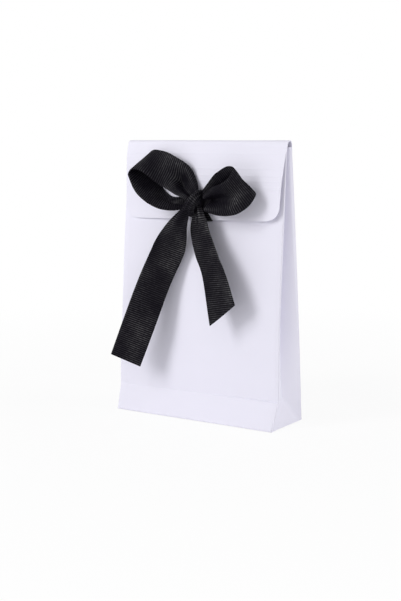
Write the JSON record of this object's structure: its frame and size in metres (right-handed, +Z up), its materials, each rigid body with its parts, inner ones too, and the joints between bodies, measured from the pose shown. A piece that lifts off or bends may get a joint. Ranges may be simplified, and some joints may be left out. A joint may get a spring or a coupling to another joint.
{
  "type": "gift envelope",
  "caption": "Small white gusseted paper bag with a square bottom, closed by a fold-over flap that is tied with a black ribbed ribbon bow.",
  "frame": {"origin": "middle of the underside of the square bottom", "axes": "+Z up along the height, -Y out of the front panel, where the flap and the bow are, +X to the right as seen from the front"},
  "size_m": [0.09, 0.044, 0.135],
  "materials": {
    "paper": "matte",
    "ribbon": "satin"
  },
  "bodies": {
    "bag": {"back_panel": "paper", "back_base_band": "paper", "front_base_band": "paper", "left_gusset_back": "paper", "right_gusset_back": "paper", "left_base_fold": "paper", "right_base_fold": "paper", "base_outer_flap": "paper", "base_inner_flap": "paper", "left_base_tab": "paper", "right_base_tab": "paper", "glue_lap": "paper", "top_fold": "paper"},
    "front": {"front_panel": "paper", "left_gusset_front": "paper", "right_gusset_front": "paper"},
    "tied_flap": {"flap": "paper", "ribbon_anchor": "ribbon", "ribbon_knot": "ribbon", "left_loop": "ribbon", "right_loop": "ribbon"},
    "left_tail": {"left_tail": "ribbon"},
    "right_tail": {"right_tail": "ribbon"}
  },
  "joints": [
    {"name": "flap_hinge", "type": "hinge", "parent": "bag", "child": "tied_flap", "pos_m": [0, 0, 0.1326], "axis": [-1, 0, 0], "range_deg": [0, 168]},
    {"name": "mouth_open", "type": "hinge", "parent": "bag", "child": "front", "pos_m": [0, -0.0096, 0.013], "axis": [1, 0, 0], "range_deg": [0, 5]},
    {"name": "left_tail_lift", "type": "hinge", "parent": "tied_flap", "child": "left_tail", "pos_m": [-0.0032, -0.0157, 0.1021], "axis": [-1, 0, 0], "range_deg": [0, 35]},
    {"name": "right_tail_lift", "type": "hinge", "parent": "tied_flap", "child": "right_tail", "pos_m": [0.0038, -0.0142, 0.1005], "axis": [-0.9063, -0.4226, 0], "range_deg": [0, 35]}
  ],
  "couplings": [
    {"joint": "mouth_open", "follows": "flap_hinge", "ratio": 0.0297}
  ]
}
